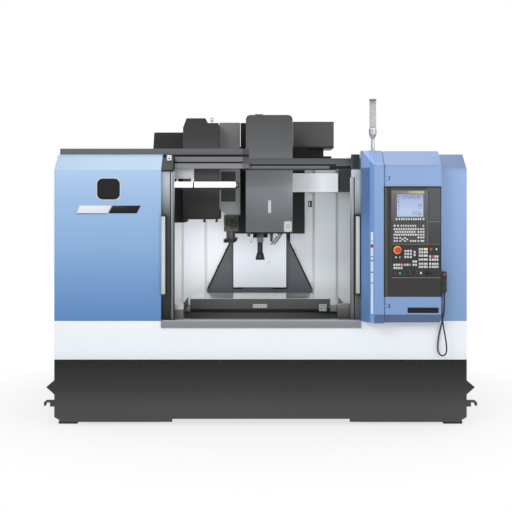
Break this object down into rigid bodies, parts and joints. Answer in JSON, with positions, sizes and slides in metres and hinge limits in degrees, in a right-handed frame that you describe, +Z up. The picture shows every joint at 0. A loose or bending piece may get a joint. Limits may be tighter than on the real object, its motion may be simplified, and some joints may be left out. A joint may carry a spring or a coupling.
{
  "type": "cnc machining center",
  "caption": "Vertical machining centre: cabin with two sliding doors, travelling table, head with spindle, side tool changer, swivelling console and hand pendant.",
  "frame": {"origin": "on the floor, in the middle of the four foundation bolts; the spindle axis lies at X = 0", "axes": "+X to the operator's right, +Y to the rear, +Z up"},
  "size_m": [3.47, 2.384, 2.612],
  "materials": {
    "blue_paint": "semi-gloss",
    "white_paint": "semi-gloss",
    "black_paint": "textured",
    "dark_grey_paint": "satin",
    "grey_paint": "satin",
    "pale_sheet": "satin",
    "casting": "painted",
    "ground_steel": "ground",
    "cover_steel": "rolled",
    "chrome": "polished",
    "aluminium": "anodised",
    "window_glass": "clear",
    "lamp_glass": "clear cover over lamps",
    "panel_plastic": "satin",
    "red_plastic": "gloss",
    "green_plastic": "gloss",
    "knob_plastic": "gloss",
    "cable_rubber": "matt"
  },
  "bodies": {
    "base": {"levelling_feet": "ground_steel", "bed": "casting", "base_skirt": "black_paint", "front_apron": "white_paint", "column": "casting", "column_guards": "dark_grey_paint", "column_cover": "pale_sheet", "inner_guards": "pale_sheet", "y_cover_fixed_leaves": "cover_steel", "changer_gearbox": "grey_paint", "magazine_cover": "dark_grey_paint", "left_cover": "blue_paint", "right_cover": "blue_paint", "door_frame": "grey_paint", "operator_pillar": "blue_paint", "lamp_post": "aluminium", "signal_lamp": "lamp_glass", "work_light": "aluminium", "auxiliary_boxes": "dark_grey_paint", "electrical_cabinet": "pale_sheet"},
    "saddle": {"saddle": "casting", "saddle_covers": "cover_steel"},
    "front_leaf": {"y_cover_front_leaf": "cover_steel"},
    "rear_leaf": {"y_cover_rear_leaf": "cover_steel"},
    "table": {"table": "ground_steel", "table_troughs": "dark_grey_paint"},
    "head": {"head_casting": "casting", "head_apron": "pale_sheet", "head_cover": "grey_paint", "spindle_nose": "ground_steel"},
    "spindle": {"spindle_shaft": "chrome", "tool_holder": "chrome", "face_mill": "ground_steel"},
    "ram": {"changer_ram": "chrome"},
    "arm": {"changer_arm": "ground_steel"},
    "magazine": {"magazine_disc": "aluminium"},
    "left_door": {"left_door": "aluminium", "left_door_window": "window_glass", "left_door_handle": "aluminium", "left_door_fittings": "black_paint"},
    "right_door": {"right_door": "aluminium", "right_door_window": "window_glass", "right_door_handle": "aluminium", "right_door_fittings": "black_paint"},
    "console": {"console_housing": "blue_paint", "control_face": "panel_plastic", "display_unit": "panel_plastic", "pendant_body": "panel_plastic", "pendant_cord": "cable_rubber"},
    "emergency_stop": {"emergency_stop": "red_plastic"},
    "start_button": {"start_button": "green_plastic"},
    "hold_button": {"hold_button": "red_plastic"},
    "feed_knob": {"feed_knob": "knob_plastic"},
    "speed_knob": {"speed_knob": "knob_plastic"},
    "key_switch": {"key_switch": "chrome"},
    "pendant_stop": {"pendant_stop": "red_plastic"},
    "pendant_dial": {"pendant_dial": "knob_plastic"},
    "axis_knob": {"axis_knob": "knob_plastic"},
    "step_knob": {"step_knob": "knob_plastic"},
    "cabinet_door": {"cabinet_door": "pale_sheet"}
  },
  "joints": [
    {"name": "y_axis", "type": "slide", "parent": "base", "child": "saddle", "axis": [0, 1, 0], "range_m": [-0.27, 0.27]},
    {"name": "front_leaf_slide", "type": "slide", "parent": "base", "child": "front_leaf", "axis": [0, 1, 0], "range_m": [-0.135, 0.135]},
    {"name": "rear_leaf_slide", "type": "slide", "parent": "base", "child": "rear_leaf", "axis": [0, 1, 0], "range_m": [-0.135, 0.135]},
    {"name": "x_axis", "type": "slide", "parent": "saddle", "child": "table", "axis": [1, 0, 0], "range_m": [-0.51, 0.51]},
    {"name": "z_axis", "type": "slide", "parent": "base", "child": "head", "axis": [0, 0, 1], "range_m": [-0.31, 0.22]},
    {"name": "spindle_turn", "type": "hinge", "parent": "head", "child": "spindle", "pos_m": [0, -0.28, 1.4], "axis": [0, 0, 1], "continuous": true},
    {"name": "arm_plunge", "type": "slide", "parent": "base", "child": "ram", "axis": [0, 0, -1], "range_m": [0, 0.115]},
    {"name": "arm_swing", "type": "hinge", "parent": "ram", "child": "arm", "pos_m": [-0.26, -0.28, 1.454], "axis": [0, 0, 1], "range_deg": [0, 90]},
    {"name": "magazine_turn", "type": "hinge", "parent": "base", "child": "magazine", "pos_m": [-0.5, -0.28, 2.06], "axis": [1, 0, 0], "continuous": true},
    {"name": "left_door_slide", "type": "slide", "parent": "base", "child": "left_door", "axis": [1, 0, 0], "range_m": [0, 0.72]},
    {"name": "right_door_slide", "type": "slide", "parent": "base", "child": "right_door", "axis": [-1, 0, 0], "range_m": [0, 0.735]},
    {"name": "console_swivel", "type": "hinge", "parent": "base", "child": "console", "pos_m": [0.99, -1.232, 1.4], "axis": [0, 0, -1], "range_deg": [0, 90]},
    {"name": "start_button_press", "type": "slide", "parent": "console", "child": "start_button", "axis": [0, 1, 0], "range_m": [0, 0.004], "stiffness_N_per_m": 400, "springref_m": -0.001},
    {"name": "hold_button_press", "type": "slide", "parent": "console", "child": "hold_button", "axis": [0, 1, 0], "range_m": [0, 0.004], "stiffness_N_per_m": 400, "springref_m": -0.001},
    {"name": "emergency_stop_press", "type": "slide", "parent": "console", "child": "emergency_stop", "axis": [0, 1, 0], "range_m": [0, 0.004]},
    {"name": "feed_knob_turn", "type": "hinge", "parent": "console", "child": "feed_knob", "pos_m": [1.158, -1.26, 1.23], "axis": [0, -1, 0], "range_deg": [-135, 135]},
    {"name": "speed_knob_turn", "type": "hinge", "parent": "console", "child": "speed_knob", "pos_m": [1.206, -1.26, 1.23], "axis": [0, -1, 0], "range_deg": [-90, 90]},
    {"name": "key_turn", "type": "hinge", "parent": "console", "child": "key_switch", "pos_m": [1.31, -1.26, 1.226], "axis": [0, 1, 0], "range_deg": [0, 90]},
    {"name": "pendant_stop_press", "type": "slide", "parent": "console", "child": "pendant_stop", "axis": [0, 1, 0], "range_m": [0, 0.004]},
    {"name": "pendant_dial_turn", "type": "hinge", "parent": "console", "child": "pendant_dial", "pos_m": [1.448, -1.18, 1.112], "axis": [0, -1, 0], "continuous": true},
    {"name": "axis_knob_turn", "type": "hinge", "parent": "console", "child": "axis_knob", "pos_m": [1.434, -1.18, 1.18], "axis": [0, -1, 0], "range_deg": [-60, 60]},
    {"name": "step_knob_turn", "type": "hinge", "parent": "console", "child": "step_knob", "pos_m": [1.462, -1.18, 1.18], "axis": [0, -1, 0], "range_deg": [-60, 60]},
    {"name": "cabinet_door_hinge", "type": "hinge", "parent": "base", "child": "cabinet_door", "pos_m": [1.54, 1.075, 1.1], "axis": [0, 0, -1], "range_deg": [0, 110]}
  ],
  "couplings": [
    {"joint": "front_leaf_slide", "follows": "y_axis", "ratio": 0.5},
    {"joint": "rear_leaf_slide", "follows": "y_axis", "ratio": 0.5}
  ]
}
